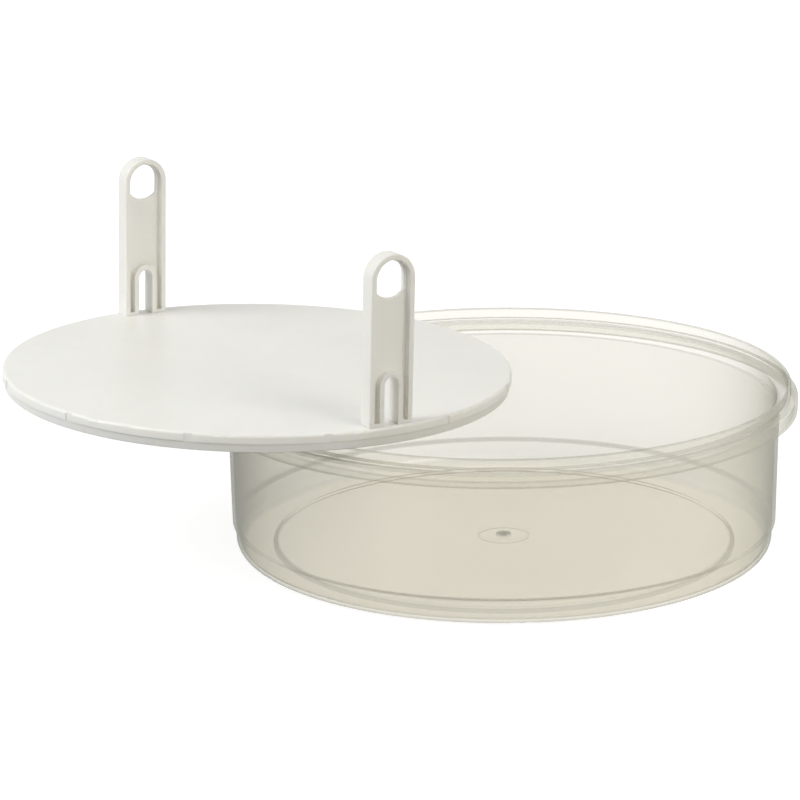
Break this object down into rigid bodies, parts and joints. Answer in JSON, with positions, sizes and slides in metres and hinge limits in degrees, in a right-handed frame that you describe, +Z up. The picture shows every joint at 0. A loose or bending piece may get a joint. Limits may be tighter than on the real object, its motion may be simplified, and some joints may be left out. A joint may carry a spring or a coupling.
{
  "type": "cake carrier",
  "caption": "Round open translucent cake box with a white lift-out tray, two upright finger-hole handles on it, parked across the box rim.",
  "frame": {"origin": "on the ground, below the middle of the whole group's bounding box", "axes": "+Z up; +X from the overhanging tray towards the box, along the line through both centres; the handle nearer to a viewer at -Y is the front one"},
  "size_m": [0.4692, 0.348, 0.2121],
  "materials": {
    "translucent_polypropylene": "translucent milky polypropylene, satin outside and smooth inside",
    "white_plastic": "warm white, softly glossy moulding"
  },
  "bodies": {
    "box": {"box": "translucent_polypropylene"},
    "tray": {"tray": "white_plastic", "handle_front": "white_plastic", "handle_back": "white_plastic"}
  },
  "joints": [
    {"name": "tray_lift", "type": "slide", "parent": "box", "child": "tray", "axis": [0, 0, 1], "range_m": [0, 0.15]}
  ]
}
